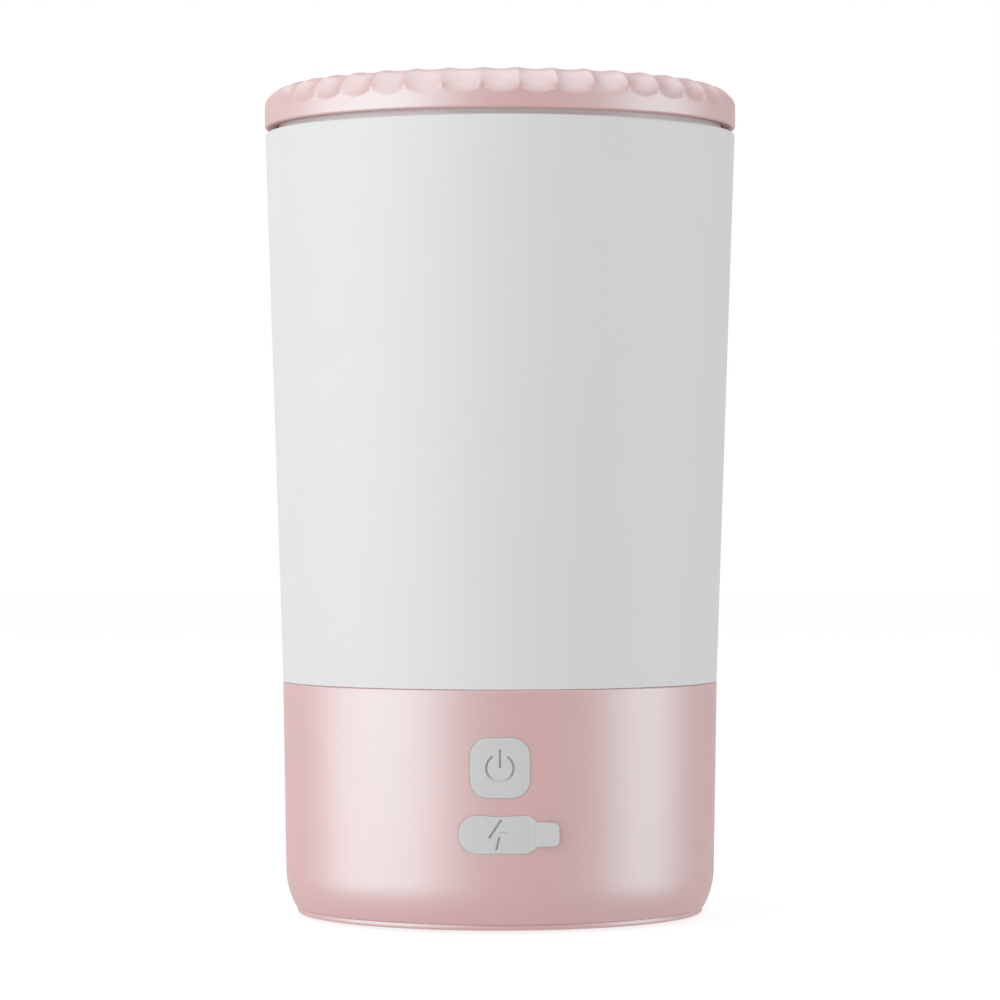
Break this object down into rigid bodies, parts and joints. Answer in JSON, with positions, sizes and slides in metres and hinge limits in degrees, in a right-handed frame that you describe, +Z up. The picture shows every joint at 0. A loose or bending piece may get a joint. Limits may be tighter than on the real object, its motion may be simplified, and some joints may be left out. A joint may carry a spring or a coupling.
{
  "type": "paw washer cup",
  "caption": "Cordless paw washer: a tapered water cup with a spinning silicone bristle brush and a fluted pink rim, lifted off a pink motor base with a button and a covered port.",
  "frame": {"origin": "on the floor, under the centre of the base", "axes": "+Z up along the cup's axis; the front, with the button and the port, faces -Y; +X to the right seen from the front"},
  "size_m": [0.095, 0.095, 0.1667],
  "materials": {
    "pink_pearl": "satin pearl moulded ABS",
    "white_body": "fine matte moulded ABS",
    "grey_silicone": "matte moulded silicone",
    "pink_silicone": "soft matte silicone",
    "white_silicone": "soft matte silicone",
    "basket_plastic": "milky polypropylene",
    "nylon": "moulded nylon",
    "steel": "turned stainless steel",
    "zinc_steel": "zinc plated",
    "bronze": "sintered bronze",
    "black_rubber": "matte nitrile rubber",
    "black_plastic": "moulded, fine texture",
    "board_green": "solder mask",
    "cell_blue": "shrink sleeve",
    "red_wire": "PVC insulation"
  },
  "bodies": {
    "base": {"base_shell": "pink_pearl", "bottom_cover": "pink_pearl", "foot_ring": "grey_silicone", "cover_screw_1": "zinc_steel", "cover_screw_2": "zinc_steel", "cover_screw_3": "zinc_steel", "cover_screw_4": "zinc_steel", "cup_seal": "black_rubber", "main_board": "board_green", "board_screw_1": "zinc_steel", "board_screw_2": "zinc_steel", "usb_socket": "steel", "switch_body": "black_plastic", "status_led": "white_body", "battery_plug": "nylon", "motor_plug": "nylon", "battery_cell": "cell_blue", "battery_cradle": "nylon", "battery_lead_black": "black_rubber", "battery_lead_red": "red_wire", "motor_lead_black": "black_rubber", "motor_lead_red": "red_wire", "flap_anchor": "grey_silicone", "gearbox_plate": "zinc_steel", "plate_screw_1": "zinc_steel", "plate_screw_2": "zinc_steel", "plate_screw_3": "zinc_steel", "motor_can": "steel", "motor_end_cap": "black_plastic", "motor_screw_1": "zinc_steel", "motor_screw_2": "zinc_steel", "idler_axle": "steel", "lower_bush": "bronze", "shaft_bearing": "steel", "shaft_seal": "black_rubber"},
    "power_button": {"power_button": "grey_silicone"},
    "switch_stem": {"switch_stem": "white_body"},
    "port_flap": {"port_flap": "grey_silicone"},
    "motor_rotor": {"motor_shaft": "steel", "motor_pinion": "bronze"},
    "idler": {"idler_gear": "nylon"},
    "drive": {"drive_shaft": "steel", "output_gear": "nylon", "drive_coupling": "nylon"},
    "cup": {"cup_shell": "white_body", "water_tank": "white_body", "spindle_bush": "bronze", "spindle_seal": "black_rubber"},
    "brush": {"brush_basket": "basket_plastic", "bristle_sleeve": "pink_silicone", "floor_brush": "pink_silicone", "spindle": "steel", "driven_coupling": "nylon", "brush_nut": "pink_pearl"},
    "rim": {"rim_ring": "pink_pearl", "rim_gasket": "grey_silicone", "splash_guard": "white_silicone", "guard_retainer": "white_body"}
  },
  "joints": [
    {"name": "cup_lift", "type": "slide", "parent": "base", "child": "cup", "axis": [0, 0, 1], "range_m": [0, 0.03]},
    {"name": "rim_lift", "type": "slide", "parent": "cup", "child": "rim", "axis": [0, 0, 1], "range_m": [0, 0.025]},
    {"name": "brush_spin", "type": "hinge", "parent": "cup", "child": "brush", "pos_m": [0, 0, 0.0568], "axis": [0, 0, 1], "continuous": true},
    {"name": "drive_spin", "type": "hinge", "parent": "base", "child": "drive", "pos_m": [0, 0, 0.0438], "axis": [0, 0, 1], "continuous": true},
    {"name": "idler_spin", "type": "hinge", "parent": "base", "child": "idler", "pos_m": [0.01955, 0.00711, 0.0375], "axis": [0, 0, 1], "continuous": true},
    {"name": "motor_spin", "type": "hinge", "parent": "base", "child": "motor_rotor", "pos_m": [0.01621, -0.01179, 0.0353], "axis": [0, 0, 1], "continuous": true},
    {"name": "button_press", "type": "slide", "parent": "base", "child": "power_button", "axis": [0, 1, 0], "range_m": [0, 0.0006], "stiffness_N_per_m": 1000},
    {"name": "stem_press", "type": "slide", "parent": "base", "child": "switch_stem", "axis": [0, 1, 0], "range_m": [0, 0.0004]},
    {"name": "flap_open", "type": "hinge", "parent": "base", "child": "port_flap", "pos_m": [-0.00605, -0.0431, 0.0192], "axis": [0, 0, -1], "range_deg": [0, 110], "stiffness_Nm_per_rad": 0.001}
  ],
  "couplings": [
    {"joint": "drive_spin", "follows": "brush_spin", "ratio": 1},
    {"joint": "idler_spin", "follows": "brush_spin", "ratio": -3.3333},
    {"joint": "motor_spin", "follows": "brush_spin", "ratio": 10},
    {"joint": "stem_press", "follows": "button_press", "ratio": 0.5}
  ]
}
